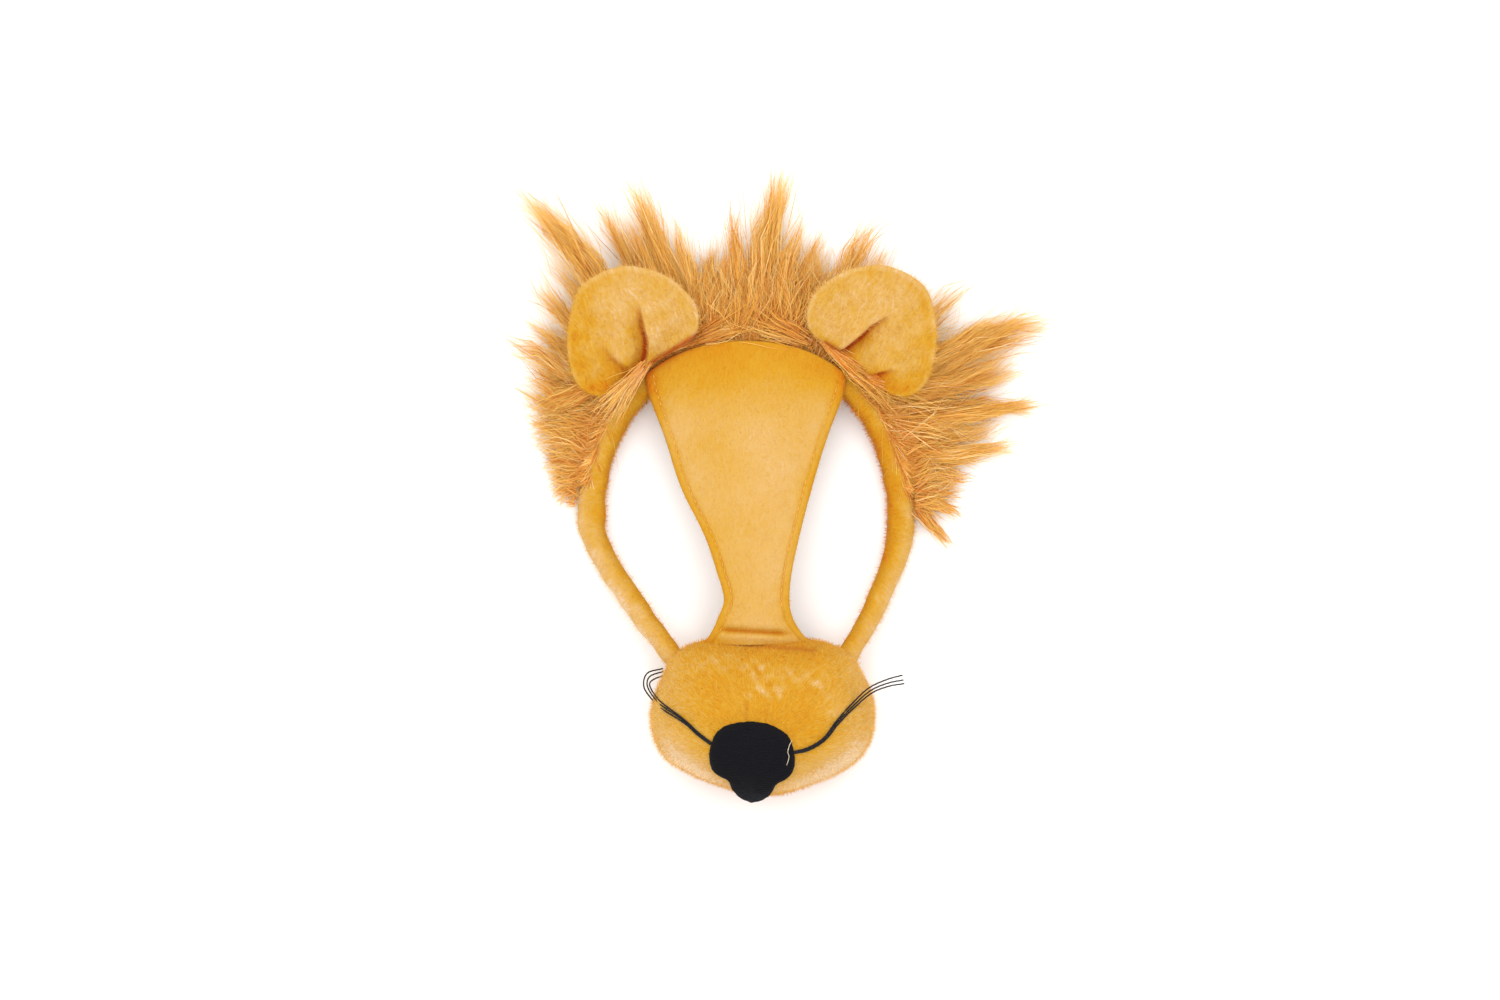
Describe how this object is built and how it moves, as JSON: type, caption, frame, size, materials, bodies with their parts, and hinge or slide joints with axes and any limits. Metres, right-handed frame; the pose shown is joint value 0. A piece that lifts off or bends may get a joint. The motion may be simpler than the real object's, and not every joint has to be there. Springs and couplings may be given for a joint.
{
  "type": "lion mask",
  "caption": "Plush half mask of a lion's face: padded headband with ears and mane, forehead panel, cheek straps, hollow muzzle, knit nose and whiskers.",
  "frame": {"origin": "on the flat back of the headband, in its middle at the crown", "axes": "+Z out of the face, away from the head; +Y towards the crown; +X to the right of someone who looks at the face"},
  "size_m": [0.2525, 0.2851, 0.0689],
  "materials": {
    "plush": "short orange-gold pile",
    "mane_fur": "long tan-gold pile",
    "nose_knit": "black ribbed knit",
    "whisker_thread": "stiff black thread"
  },
  "bodies": {
    "root": {"headband": "plush", "cheek_strap_left": "plush", "cheek_strap_right": "plush", "forehead_panel": "plush", "muzzle": "plush", "nose": "nose_knit", "ear_left": "plush", "ear_right": "plush", "whiskers_left": "whisker_thread", "whiskers_right": "whisker_thread", "mane": "mane_fur"}
  },
  "joints": []
}
